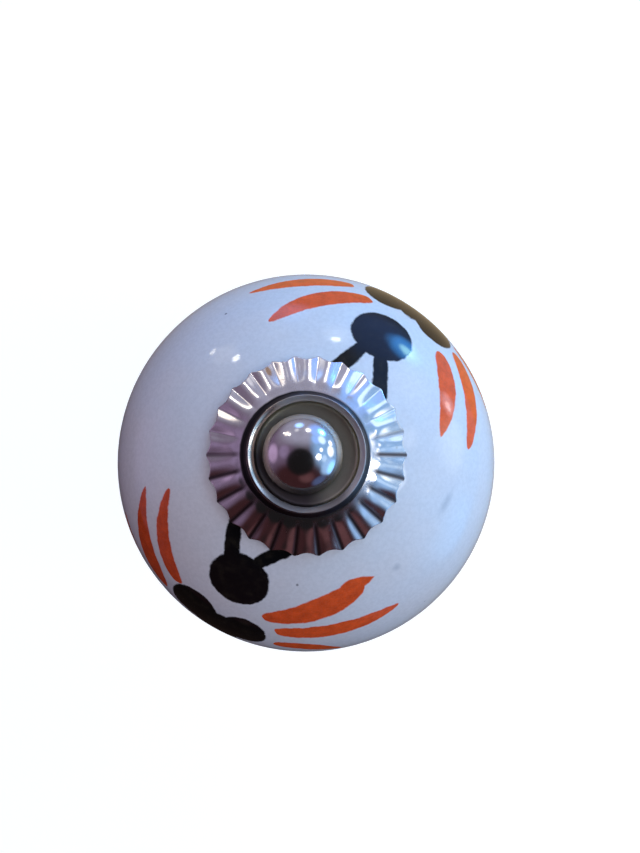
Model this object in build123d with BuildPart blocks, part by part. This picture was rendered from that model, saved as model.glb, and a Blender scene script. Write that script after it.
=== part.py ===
from build123d import *
import os
from math import acos, degrees, pi, sin, sqrt

# Cabinet knob: a glazed ceramic ball clamped between a fluted front cap and a back ferrule by one
# long domed screw. Millimetres. The origin is the centre of the seat on the door, and +Z points
# out of the door along the knob's axis.

# Ceramic ball
knob_diameter = 40.0
front_height = 14.0
back_height = 13.0
front_flat_diameter = 12.4
foot_diameter = 17.0
ceramic_edge_round = 0.8
bore_edge_round = 0.4

# Domed screw
thread_diameter = 4.0
shank_diameter = 3.54
stud_projection = 28.0
stud_tip_chamfer = 0.6
dome_diameter = 6.7
dome_height = 2.3
head_flange_diameter = 7.3
head_flange_thickness = 0.5
head_edge_round = 0.22
screw_drift = 0.35

# Cup washer under the screw's head
cup_depth = 0.9
cup_floor = 0.4
cup_bowl_round = 0.35
cup_rim_width = 0.5
cup_rim_round = 0.24
cup_flare = 0.45
cup_flare_hollow = 0.1

# Fluted cap
cap_diameter = 17.7
cap_sheet = 0.4
cap_stand = 1.2
flute_count = 26
flute_depth = 0.4
flute_scallop = 0.4
flute_run_in = 0.9
knee_drop = 0.4

# Back ferrule
ferrule_sheet = 0.6
ferrule_lip = 0.5
ferrule_waist_diameter = 14.4
ferrule_flange_diameter = 20.0
ferrule_bend = 1.1

# Washer and nut in the hollow of the ferrule
washer_diameter = 9.0
washer_thickness = 0.8
nut_across_flats = 7.0
nut_height = 3.2
nut_chamfer = 0.35
nut_recess = 1.4

# Clearances
bore_play = 0.6
hole_play = 0.15
head_play = 0.4
rim_play = 0.1
thread_play = 0.02

# Radii that follow from the sizes above
knob_radius = knob_diameter / 2
front_flat_radius = front_flat_diameter / 2
foot_radius = foot_diameter / 2
thread_radius = thread_diameter / 2
shank_radius = shank_diameter / 2
dome_radius = dome_diameter / 2
head_flange_radius = head_flange_diameter / 2
bore_radius = thread_radius + screw_drift + bore_play
hole_radius = thread_radius + screw_drift + hole_play
cup_inner_radius = head_flange_radius + screw_drift + head_play
cup_rim_radius = cup_inner_radius + cup_rim_width
cup_base_radius = cup_rim_radius + cup_flare
crease_radius = cap_diameter / 2
knee_radius = cup_base_radius + flute_run_in

# Heights of the stack, from the seat on the door outwards
ferrule_height = ferrule_sheet + washer_thickness + nut_height + nut_recess
foot_level = ferrule_height
widest_level = foot_level + back_height
front_level = widest_level + front_height
cap_seat = front_level + cap_stand
cap_top = cap_seat + cap_sheet
head_seat = cap_top + cup_floor
cup_rim_level = head_seat + cup_depth
washer_top = ferrule_height - ferrule_sheet
nut_top = washer_top - washer_thickness
nut_base = nut_top - nut_height

# The ball's section: two quarter ellipses that meet at the widest line, cut by the two flats
front_half_height = front_height / sqrt(1 - (front_flat_radius / knob_radius) ** 2)
back_half_height = back_height / sqrt(1 - (foot_radius / knob_radius) ** 2)
front_span = degrees(acos(front_flat_radius / knob_radius))
back_span = degrees(acos(foot_radius / knob_radius))

# The cap's creases bend at a knee and run down to the ball's shoulder. The flutes stand up between
# them, as deep for their width at the knee as at the rim
shoulder_level = widest_level + front_half_height * sqrt(1 - (crease_radius / knob_radius) ** 2)
crease_top = shoulder_level + rim_play + cap_sheet
knee_top = cap_top - knee_drop
knee_depth = flute_depth * knee_radius / crease_radius

# The screw, its washer and its nut share an axis a little to one side of the knob's own
screw_axis = Axis((-screw_drift, 0, 0), (0, 0, 1))
screw_section = Plane(origin=(-screw_drift, 0, 0), x_dir=(1, 0, 0), z_dir=(0, -1, 0))


def level_on_screw(height):
    """The flat plane across the screw's axis at a height above the seat."""
    return Plane(origin=(-screw_drift, 0, height))


os.makedirs("parts", exist_ok=True)

# Ceramic ball with a straight bore
with BuildPart() as ceramic_body:
    with BuildSketch(Plane.XZ):
        with BuildLine():
            middle = (0, widest_level)
            back_arc = EllipticalCenterArc(
                middle, knob_radius, back_half_height, -back_span, arc_size=back_span
            )
            front_arc = EllipticalCenterArc(
                middle, knob_radius, front_half_height, 0, arc_size=front_span
            )
            Polyline(
                front_arc @ 1,
                (bore_radius, front_level),
                (bore_radius, foot_level),
                back_arc @ 0,
            )
        make_face()
    revolve(axis=Axis.Z)
    front_edges = ceramic_body.edges().group_by(Axis.Z)[-1].sort_by(SortBy.RADIUS)
    foot_edges = ceramic_body.edges().group_by(Axis.Z)[0].sort_by(SortBy.RADIUS)
    fillet([front_edges[-1], foot_edges[-1]], ceramic_edge_round)
    bore_edges = ceramic_body.edges().filter_by(GeomType.CIRCLE).group_by(SortBy.RADIUS)[0]
    fillet(bore_edges, bore_edge_round)
ceramic_body.part.label = "ceramic_body"
export_step(ceramic_body.part, "parts/ceramic_body.step")

# One flute of the pressed cap, from crease to crease, with its share of the flat centre
flute_sections = 3
flute_pitch = 360 / flute_count
with BuildPart() as flute:
    for section in range(flute_sections):
        share = section / (flute_sections - 1)
        lift = sin(pi * share)
        knee = Vector(knee_radius, knee_top + lift * knee_depth)
        rim = Vector(crease_radius - lift * flute_scallop, crease_top + lift * flute_depth)
        drop = Vector(0, cap_sheet)
        turn = flute_pitch * share
        with BuildSketch(Plane.XZ.rotated((0, 0, turn))):
            with BuildLine():
                top = Line((hole_radius, cap_top), (cup_base_radius, cap_top))
                top_skirt = Polyline(top @ 1, knee, rim)
                under = Line((hole_radius, cap_seat), (cup_base_radius, cap_seat))
                under_skirt = Polyline(under @ 1, knee - drop, rim - drop)
                Line(top_skirt @ 1, under_skirt @ 1)
                Line(top @ 0, under @ 0)
            make_face()
    loft()

# Fluted cap, pressed from sheet
with BuildPart() as fluted_cap:
    with PolarLocations(0, flute_count):
        add(flute.part)
fluted_cap.part.label = "fluted_cap"
export_step(fluted_cap.part, "parts/fluted_cap.step")

# Cup washer with a flared outside, a rounded rim and a bowl that rounds into its floor
with BuildPart() as cup_washer:
    with BuildSketch(Plane.XZ):
        with BuildLine():
            flare = SagittaArc(
                (cup_base_radius, cap_top), (cup_rim_radius, cup_rim_level), cup_flare_hollow
            )
            bowl = TangentArc(
                (cup_inner_radius, head_seat + cup_bowl_round),
                (cup_inner_radius - cup_bowl_round, head_seat),
                tangent=(0, -1),
            )
            Polyline(flare @ 1, (cup_inner_radius, cup_rim_level), bowl @ 0)
            Polyline(bowl @ 1, (hole_radius, head_seat), (hole_radius, cap_top), flare @ 0)
        make_face()
    revolve(axis=Axis.Z)
    fillet(cup_washer.edges().group_by(Axis.Z)[-1], cup_rim_round)
cup_washer.part.label = "cup_washer"
export_step(cup_washer.part, "parts/cup_washer.step")

# Domed screw: the shank is the blank that the thread is rolled on
flange_top = head_seat + head_flange_thickness
with BuildPart() as dome_screw:
    with BuildSketch(screw_section):
        with BuildLine():
            dome = TangentArc(
                (0, flange_top + dome_height), (dome_radius, flange_top), tangent=(1, 0)
            )
            Polyline(
                dome @ 0,
                (0, -stud_projection),
                (thread_radius, -stud_projection),
                (thread_radius, nut_base),
                (shank_radius, nut_base),
                (shank_radius, head_seat),
                (head_flange_radius, head_seat),
                (head_flange_radius, flange_top),
                dome @ 1,
            )
        make_face()
    revolve(axis=screw_axis)
    chamfer(dome_screw.edges().group_by(Axis.Z)[0], stud_tip_chamfer)
    flange_side = dome_screw.faces().filter_by(GeomType.CYLINDER).sort_by(SortBy.RADIUS)[-1]
    fillet(flange_side.edges().filter_by(GeomType.CIRCLE), head_edge_round)
dome_screw.part.label = "dome_screw"
export_step(dome_screw.part, "parts/dome_screw.step")

# Back ferrule: a spool pressed from sheet, with a turned-out flange that seats on the door
ferrule_seat_radius = foot_radius + ferrule_lip
ferrule_waist_radius = ferrule_waist_diameter / 2
ferrule_flange_radius = ferrule_flange_diameter / 2
with BuildPart() as back_ferrule:
    with BuildSketch(Plane.XZ):
        with BuildLine():
            FilletPolyline(
                (hole_radius, ferrule_height),
                (ferrule_seat_radius, ferrule_height),
                (ferrule_waist_radius, ferrule_height / 2),
                (ferrule_waist_radius, ferrule_sheet),
                (ferrule_flange_radius, ferrule_sheet),
                radius=ferrule_bend,
            )
            offset(amount=ferrule_sheet, side=Side.RIGHT)
        make_face()
    revolve(axis=Axis.Z)
back_ferrule.part.label = "back_ferrule"
export_step(back_ferrule.part, "parts/back_ferrule.step")

# Flat washer under the nut
with BuildPart() as back_washer:
    with BuildSketch(level_on_screw(nut_top)):
        Circle(washer_diameter / 2)
        Circle(thread_radius + hole_play, mode=Mode.SUBTRACT)
    extrude(amount=washer_thickness)
back_washer.part.label = "back_washer"
export_step(back_washer.part, "parts/back_washer.step")

# Hexagon nut, its corners turned off on both faces
nut_bore_radius = shank_radius + thread_play
nut_corner_radius = nut_across_flats / sqrt(3)
with BuildPart() as hex_nut:
    with BuildSketch(level_on_screw(nut_base)):
        RegularPolygon(nut_across_flats / 2, 6, major_radius=False)
        Circle(nut_bore_radius, mode=Mode.SUBTRACT)
    extrude(amount=nut_height)
    with BuildSketch(screw_section):
        with BuildLine():
            Polyline(
                (0, nut_base),
                (nut_across_flats / 2, nut_base),
                (nut_corner_radius, nut_base + nut_chamfer),
                (nut_corner_radius, nut_top - nut_chamfer),
                (nut_across_flats / 2, nut_top),
                (0, nut_top),
                close=True,
            )
        make_face()
    revolve(axis=screw_axis, mode=Mode.INTERSECT)
hex_nut.part.label = "hex_nut"
export_step(hex_nut.part, "parts/hex_nut.step")
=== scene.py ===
"""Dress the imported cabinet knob: a painted and glazed ball, plated metal, and a white studio."""
import logging
import math
import random
from abc import ABC, abstractmethod
from contextlib import contextmanager
from dataclasses import dataclass, field
from enum import Enum
from typing import Callable, Iterable, Iterator, Union

import bmesh
import bpy
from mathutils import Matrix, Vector


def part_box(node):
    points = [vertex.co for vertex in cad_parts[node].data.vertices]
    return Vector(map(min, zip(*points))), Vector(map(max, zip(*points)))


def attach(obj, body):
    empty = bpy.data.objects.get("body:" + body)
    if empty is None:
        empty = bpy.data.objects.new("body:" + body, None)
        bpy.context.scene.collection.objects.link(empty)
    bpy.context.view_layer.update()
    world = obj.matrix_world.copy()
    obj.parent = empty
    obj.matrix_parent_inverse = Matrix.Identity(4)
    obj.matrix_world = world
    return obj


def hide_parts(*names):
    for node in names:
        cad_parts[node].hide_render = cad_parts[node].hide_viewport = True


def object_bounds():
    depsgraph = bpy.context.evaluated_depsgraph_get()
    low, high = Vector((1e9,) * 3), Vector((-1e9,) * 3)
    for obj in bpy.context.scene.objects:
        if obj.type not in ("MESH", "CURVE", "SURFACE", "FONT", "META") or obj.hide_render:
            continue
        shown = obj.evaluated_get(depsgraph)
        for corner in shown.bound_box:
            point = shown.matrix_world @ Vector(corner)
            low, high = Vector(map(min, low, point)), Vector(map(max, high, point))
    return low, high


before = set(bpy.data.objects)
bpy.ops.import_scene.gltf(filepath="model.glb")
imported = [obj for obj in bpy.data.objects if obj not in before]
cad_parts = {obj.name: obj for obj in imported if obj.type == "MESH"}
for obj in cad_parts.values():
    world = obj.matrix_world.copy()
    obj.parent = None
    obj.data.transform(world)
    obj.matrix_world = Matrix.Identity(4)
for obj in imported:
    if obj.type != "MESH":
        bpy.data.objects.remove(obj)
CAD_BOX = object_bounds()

LOG = logging.getLogger("knob")
MM = 0.001
# How near two places lie when they are picked together, count as one seam, or are merged
NEAR = 0.005 * MM
CLOSE = 0.002 * MM
SAME = 0.0005 * MM
FLUTES = 26
BODY = "root"

Colour = tuple[float, float, float]
Point = tuple[float, float]
Socket = bpy.types.NodeSocket
Feed = Union[float, tuple, Socket]


def span(low: float, high: float) -> Point:
    """Give a pair of millimetres in metres."""
    return (low * MM, high * MM)


class Slot(Enum):
    """The finishes that the record names."""

    CERAMIC = "glazed_ceramic"
    PLATE = "bright_plate"
    ZINC = "zinc_plate"


class Blank(Enum):
    """The primitives that a piece is started from."""

    RING = "circle"
    BALL = "uv_sphere"


@dataclass(frozen=True)
class Noise:
    """A cloudy noise: its features for each unit of the coordinates, and its finer octaves."""

    size: Feed
    detail: float = 2.0
    rough: float = 0.5


class Graph:
    """A node tree being wired, with one short method for each usual step."""

    MIX_FIRST = 6
    MIX_SECOND = 7
    MIX_RESULT = 2

    def __init__(self, tree: bpy.types.NodeTree) -> None:
        """Keep the tree that the nodes go into."""
        self.tree = tree

    def add(self, kind: str, **settings: object) -> bpy.types.Node:
        """Add a node.

        Args:
            kind: The node's type name.
            **settings: Properties to set on it.

        Returns:
            The new node.
        """
        node = self.tree.nodes.new(kind)
        for name, value in settings.items():
            setattr(node, name, value)
        return node

    def feed(self, socket: Socket, value: Feed) -> None:
        """Wire a socket to an output, or set its plain value.

        Args:
            socket: The input to fill.
            value: An output socket, a number or a tuple of numbers.
        """
        if isinstance(value, Socket):
            self.tree.links.new(value, socket)
        elif socket.type == "RGBA":
            socket.default_value = (*value[:3], 1.0)
        else:
            socket.default_value = value

    def maths(self, operation: str, *values: Feed, clamp: bool = False) -> Socket:
        """Work out a number.

        Args:
            operation: The Math node's operation.
            *values: What goes into its sockets, in order.
            clamp: Whether the result is held between 0 and 1.

        Returns:
            The result's socket.
        """
        node = self.add("ShaderNodeMath", operation=operation, use_clamp=clamp)
        for socket, value in zip(node.inputs, values):
            self.feed(socket, value)
        return node.outputs[0]

    def vectors(self, operation: str, *values: Feed, output: str = "Vector") -> Socket:
        """Work out a vector, or a number from vectors.

        Args:
            operation: The Vector Math node's operation.
            *values: What goes into its sockets, in order.
            output: The result to return, "Vector" or "Value".

        Returns:
            The result's socket.
        """
        node = self.add("ShaderNodeVectorMath", operation=operation)
        for socket, value in zip(node.inputs, values):
            self.feed(socket, value)
        return node.outputs[output]

    def times(self, first: Feed, second: Feed) -> Socket:
        """Multiply two numbers."""
        return self.maths("MULTIPLY", first, second)

    def minus(self, first: Feed, second: Feed) -> Socket:
        """Take the second number from the first."""
        return self.maths("SUBTRACT", first, second)

    def length(self, vector: Feed) -> Socket:
        """Measure a vector."""
        return self.vectors("LENGTH", vector, output="Value")

    def dot(self, first: Feed, second: Feed) -> Socket:
        """Work out the dot product of two vectors."""
        return self.vectors("DOT_PRODUCT", first, second, output="Value")

    def flat(self, vector: Feed) -> Socket:
        """Drop a vector's height."""
        return self.vectors("MULTIPLY", vector, (1.0, 1.0, 0.0))

    def split(self, vector: Feed) -> bpy.types.NodeOutputs:
        """Split a vector.

        Args:
            vector: The vector.

        Returns:
            Its numbers, by the names "X", "Y" and "Z".
        """
        node = self.add("ShaderNodeSeparateXYZ")
        self.feed(node.inputs[0], vector)
        return node.outputs

    def turned(self, vector: Feed, angle: Feed) -> Socket:
        """Turn a vector about Z.

        Args:
            vector: The vector.
            angle: How far it turns, in radians.

        Returns:
            The turned vector's socket.
        """
        node = self.add("ShaderNodeVectorRotate", rotation_type="Z_AXIS")
        self.feed(node.inputs["Vector"], vector)
        self.feed(node.inputs["Angle"], angle)
        return node.outputs[0]

    def noise(self, vector: Feed, noise: Noise) -> Socket:
        """Add a cloudy noise.

        Args:
            vector: The coordinates that it reads.
            noise: Its size and octaves.

        Returns:
            The noise value's socket.
        """
        node = self.add("ShaderNodeTexNoise")
        self.feed(node.inputs["Vector"], vector)
        self.feed(node.inputs["Scale"], noise.size)
        self.feed(node.inputs["Detail"], noise.detail)
        self.feed(node.inputs["Roughness"], noise.rough)
        return node.outputs["Fac"]

    def drift(self, vector: Feed, noise: Noise) -> Socket:
        """Add a noise that goes up to a half either way from nothing."""
        return self.minus(self.noise(vector, noise), 0.5)

    def step(self, value: Feed, low: Feed, high: Feed, start: float = 0.0, end: float = 1.0) -> Socket:
        """Ease a value from one number to another.

        Args:
            value: What is eased.
            low: Where the ease begins.
            high: Where the ease ends.
            start: The result up to low.
            end: The result from high.

        Returns:
            The eased value's socket.
        """
        node = self.add("ShaderNodeMapRange", interpolation_type="SMOOTHSTEP")
        names = ("Value", "From Min", "From Max", "To Min", "To Max")
        for name, given in zip(names, (value, low, high, start, end)):
            self.feed(node.inputs[name], given)
        return node.outputs["Result"]

    def mix(self, factor: Feed, first: Feed, second: Feed) -> Socket:
        """Mix two colours.

        Args:
            factor: Share of the second colour.
            first: The colour at 0.
            second: The colour at 1.

        Returns:
            The mixed colour's socket.
        """
        node = self.add("ShaderNodeMix", data_type="RGBA")
        self.feed(node.inputs["Factor"], factor)
        self.feed(node.inputs[self.MIX_FIRST], first)
        self.feed(node.inputs[self.MIX_SECOND], second)
        return node.outputs[self.MIX_RESULT]

    def place(self, group: bpy.types.NodeTree, values: dict[str, Feed]) -> bpy.types.Node:
        """Place a shared node group.

        Args:
            group: The group's tree.
            values: What goes into its inputs, by name.

        Returns:
            The group node.
        """
        node = self.add("ShaderNodeGroup", node_tree=group)
        for name, value in values.items():
            self.feed(node.inputs[name], value)
        return node


class Surface(Graph):
    """The graph of a new material, with its shader and the piece's own coordinates."""

    def __init__(self, name: str) -> None:
        """Make the material.

        Args:
            name: The material's name.
        """
        self.material = bpy.data.materials.new(name)
        self.material.use_nodes = True
        super().__init__(self.material.node_tree)
        self.shader = self.tree.nodes["Principled BSDF"]
        self.coords = self.add("ShaderNodeTexCoord").outputs["Object"]

    def bump(self, height: Feed, strength: float, depth: float) -> None:
        """Roughen the shader's normal.

        Args:
            height: The height that it follows.
            strength: Share of the bump that shows.
            depth: Depth of a height of one, in metres.
        """
        bump = self.add("ShaderNodeBump")
        bump.inputs["Strength"].default_value = strength
        bump.inputs["Distance"].default_value = depth
        self.feed(bump.inputs["Height"], height)
        self.feed(self.shader.inputs["Normal"], bump.outputs["Normal"])


class SharedEffect:
    """A shader node group with named sockets, built once for all the finishes that use it."""

    def __init__(
        self, name: str, vectors: Iterable[str], values: Iterable[str], results: Iterable[str]
    ) -> None:
        """Make the empty group.

        Args:
            name: The group's name.
            vectors: Names of the vectors that go in.
            values: Names of the numbers that go in.
            results: Names of the numbers that come out.
        """
        self.tree = bpy.data.node_groups.new(name, "ShaderNodeTree")
        for vector in vectors:
            self.tree.interface.new_socket(vector, in_out="INPUT", socket_type="NodeSocketVector")
        for value in values:
            self.tree.interface.new_socket(value, in_out="INPUT", socket_type="NodeSocketFloat")
        for result in results:
            self.tree.interface.new_socket(result, in_out="OUTPUT", socket_type="NodeSocketFloat")
        self.graph = Graph(self.tree)
        self.given = self.graph.add("NodeGroupInput").outputs
        self.results = self.graph.add("NodeGroupOutput").inputs


class StrokeEffect(SharedEffect):
    """One tapered brush stroke, laid over the strokes before it."""

    EDGE = 0.11

    def __init__(self) -> None:
        """Wire the stroke: a bowed centre line, a swelling width and a ragged edge."""
        super().__init__(
            "Brush stroke",
            vectors=("Chart", "Start", "End"),
            values=(
                "Ragged", "Bow", "Width", "Belly", "Start Taper", "End Taper", "Tint",
                "Cover Below", "Tint Below",
            ),
            results=("Cover", "Tint"),
        )
        graph, given = self.graph, self.given
        run = graph.vectors("SUBTRACT", given["End"], given["Start"])
        length = graph.length(run)
        heading = graph.vectors("NORMALIZE", run)
        offset = graph.vectors("SUBTRACT", given["Chart"], given["Start"])
        ahead = graph.maths("DIVIDE", graph.dot(offset, heading), length)
        along = graph.maths("ADD", ahead, 0.0, clamp=True)
        aside = graph.split(graph.vectors("CROSS_PRODUCT", heading, offset))["Z"]
        arch = graph.times(graph.times(along, graph.minus(1.0, along)), 4.0)
        across = graph.minus(aside, graph.times(arch, given["Bow"]))
        beyond = graph.times(graph.minus(ahead, along), length)
        square = graph.maths("ADD", graph.times(across, across), graph.times(beyond, beyond))
        reach = graph.maths("SQRT", square)
        power = graph.maths("LOGARITHM", 0.5, given["Belly"])
        swell = graph.maths("SINE", graph.times(graph.maths("POWER", along, power), math.pi))
        swell = graph.maths("MAXIMUM", swell, 0.0)
        spread = graph.minus(given["End Taper"], given["Start Taper"])
        taper = graph.maths("MULTIPLY_ADD", spread, along, given["Start Taper"])
        width = graph.times(graph.maths("POWER", swell, taper), given["Width"])
        inside = graph.maths("ADD", graph.minus(graph.times(width, 0.5), reach), given["Ragged"])
        cover = graph.step(inside, -self.EDGE, self.EDGE)
        graph.feed(self.results["Cover"], graph.maths("MAXIMUM", cover, given["Cover Below"]))
        lift = graph.minus(given["Tint"], given["Tint Below"])
        graph.feed(self.results["Tint"], graph.maths("MULTIPLY_ADD", lift, cover, given["Tint Below"]))


class BlotEffect(SharedEffect):
    """One rounded blot of paint, laid over the paint before it."""

    def __init__(self) -> None:
        """Wire the blot: a turned ellipse with an uneven edge."""
        super().__init__(
            "Paint blot",
            vectors=("Chart", "Centre", "Half Size"),
            values=("Ragged", "Turn", "Edge", "Cover Below"),
            results=("Cover",),
        )
        graph, given = self.graph, self.given
        offset = graph.vectors("SUBTRACT", given["Chart"], given["Centre"])
        turned = graph.turned(offset, graph.times(given["Turn"], -1.0))
        share = graph.length(graph.vectors("DIVIDE", turned, given["Half Size"]))
        size = graph.split(given["Half Size"])
        narrow = graph.maths("MINIMUM", size["X"], size["Y"])
        inside = graph.maths("MULTIPLY_ADD", graph.minus(1.0, share), narrow, given["Ragged"])
        cover = graph.step(inside, graph.times(given["Edge"], -1.0), given["Edge"])
        graph.feed(self.results["Cover"], graph.maths("MAXIMUM", cover, given["Cover Below"]))


class WearEffect(SharedEffect):
    """Handling marks on plated metal: haze, fine grain and dull specks."""

    HAZE_SPAN = (0.35, 0.7)
    SPECK_SPAN = (0.66, 0.74)
    GRAIN = Noise(9000.0, 3.0, 0.6)
    GRAIN_STRETCH = (1.0, 1.0, 0.25)

    def __init__(self) -> None:
        """Wire the marks from three scales of noise on the piece's own coordinates."""
        super().__init__(
            "Plate wear",
            vectors=("Place",),
            values=("Haze Size", "Speck Size"),
            results=("Haze", "Specks", "Grain"),
        )
        graph, given = self.graph, self.given
        haze = graph.noise(given["Place"], Noise(given["Haze Size"], 4.0, 0.6))
        graph.feed(self.results["Haze"], graph.step(haze, *self.HAZE_SPAN))
        specks = graph.noise(given["Place"], Noise(given["Speck Size"]))
        graph.feed(self.results["Specks"], graph.step(specks, *self.SPECK_SPAN))
        stretched = graph.vectors("MULTIPLY", given["Place"], self.GRAIN_STRETCH)
        graph.feed(self.results["Grain"], graph.noise(stretched, self.GRAIN))


@dataclass(frozen=True)
class Stroke:
    """A brush stroke on the ball's chart, in millimetres along the glaze."""

    start: Point
    end: Point
    bow: float
    width: float
    belly: float = 0.5
    start_taper: float = 0.7
    end_taper: float = 0.7
    tint: float = 0.5


@dataclass(frozen=True)
class Blot:
    """A rounded blot on the ball's chart, in millimetres along the glaze."""

    centre: Point
    half: Point
    turn: float = 0.0


@dataclass(frozen=True)
class Insect:
    """One painted insect: dark head, feelers and body, with orange wing strokes.

    The body's blots are placed by how far they lie ahead of the head and to its left.
    """

    head: Blot
    heading: float
    body: tuple[Blot, ...]
    feelers: tuple[Stroke, ...]
    wings: tuple[Stroke, ...]

    def blots(self) -> list[Blot]:
        """List the dark blots: the head, and the body that goes over the ball's edge.

        Returns:
            The blots, placed on the chart.
        """
        c, s = math.cos(self.heading), math.sin(self.heading)
        x, y = self.head.centre
        laid = [self.head]
        for part in self.body:
            ahead, aside = part.centre
            centre = (x + ahead * c - aside * s, y + ahead * s + aside * c)
            laid.append(Blot(centre, part.half, self.heading))
        return laid


UPPER_INSECT = Insect(
    head=Blot((7.75, 12.4), (3.4, 3.25)),
    heading=math.radians(54),
    body=(Blot((8.4, 2.75), (3.3, 3.2)), Blot((8.2, -4.45), (3.3, 3.1)), Blot((12.3, -0.9), (6.3, 3.3))),
    feelers=(
        Stroke((5.8, 11.1), (1.6, 7.3), 0.2, 1.55, 0.5, 0.15, 0.2),
        Stroke((7.2, 10.4), (6.55, 4.6), 0.0, 1.6, 0.5, 0.15, 0.15),
    ),
    wings=(
        Stroke((-6.9, 19.5), (5.8, 21.6), 0.62, 2.55, 0.62, 0.42, 0.28, 0.85),
        Stroke((-3.9, 13.6), (7.4, 18.2), 1.22, 2.6, 0.58, 0.40, 0.24, 0.68),
        Stroke((15.1, 12.0), (13.15, 1.85), 0.74, 2.6, 0.36, 0.6, 0.58, 0.7),
        Stroke((18.7, 13.3), (17.3, 0.8), 1.06, 2.8, 0.33, 0.6, 0.46, 0.88),
        Stroke((19.9, 15.1), (24.8, 6.9), 0.5, 1.7, 0.4, 0.5, 0.5, 0.8),
        Stroke((-7.0, 28.6), (6.0, 30.0), 0.6, 1.8, 0.5, 0.6, 0.4, 0.5),
    ),
)

LOWER_INSECT = Insect(
    head=Blot((-6.65, -12.1), (3.1, 3.1)),
    heading=math.radians(-118.5),
    body=(Blot((8.1, -3.4), (3.4, 3.3)), Blot((8.0, 3.15), (3.2, 2.9)), Blot((12.3, 0.2), (6.0, 3.0))),
    feelers=(
        Stroke((-7.25, -10.2), (-6.2, -4.6), 0.0, 1.55, 0.35, 0.15, 0.4),
        Stroke((-5.2, -10.4), (-1.0, -8.2), 0.1, 1.4, 0.5, 0.2, 0.2),
    ),
    wings=(
        Stroke((-13.55, -3.2), (-14.5, -14.2), -1.15, 2.15, 0.72, 0.2, 0.25, 0.12),
        Stroke((-17.1, -3.1), (-18.0, -16.4), -1.35, 3.3, 0.7, 0.32, 0.6, 0.1),
        Stroke((-4.6, -17.0), (5.5, -12.3), -0.98, 2.95, 0.60, 0.24, 0.3, 0.4),
        Stroke((3.2, -13.1), (6.5, -11.65), 0.05, 1.6, 0.40, 0.5, 0.85, 0.4),
        Stroke((-3.5, -19.4), (10.05, -16.05), -1.15, 2.35, 0.4, 0.3, 0.46, 0.55),
        Stroke((-4.1, -22.8), (4.7, -25.4), 0.6, 2.3, 0.45, 0.35, 0.6, 0.55),
        Stroke((-21.6, -18.6), (-24.0, -7.0), 0.7, 1.7, 0.5, 0.4, 0.6, 0.3),
    ),
)


@dataclass(frozen=True)
class Canvas:
    """The ball's chart under the brush, where paint goes over the paint before it."""

    graph: Graph
    chart: Feed
    ragged: Feed
    brush: StrokeEffect = field(default_factory=StrokeEffect)
    daub: BlotEffect = field(default_factory=BlotEffect)

    def stroke(self, stroke: Stroke, cover: Feed, tint: Feed) -> bpy.types.NodeOutputs:
        """Lay one brush stroke.

        Args:
            stroke: Its path, width and tint.
            cover: Cover of the strokes below.
            tint: Tint of the strokes below.

        Returns:
            The new cover and tint, by the names "Cover" and "Tint".
        """
        return self.graph.place(self.brush.tree, {
            "Chart": self.chart, "Ragged": self.ragged,
            "Start": (*stroke.start, 0.0), "End": (*stroke.end, 0.0), "Bow": stroke.bow,
            "Width": stroke.width, "Belly": stroke.belly,
            "Start Taper": stroke.start_taper, "End Taper": stroke.end_taper,
            "Tint": stroke.tint, "Cover Below": cover, "Tint Below": tint,
        }).outputs

    def blots(self, blots: Iterable[Blot], edge: float, cover: Feed = 0.0) -> Feed:
        """Lay some blots.

        Args:
            blots: Their places and sizes.
            edge: Softness of their edges, in millimetres.
            cover: Cover of the paint below.

        Returns:
            The new cover.
        """
        for blot in blots:
            cover = self.graph.place(self.daub.tree, {
                "Chart": self.chart, "Ragged": self.ragged,
                "Centre": (*blot.centre, 0.0), "Half Size": (*blot.half, 1.0), "Turn": blot.turn,
                "Edge": edge, "Cover Below": cover,
            }).outputs["Cover"]
        return cover


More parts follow.
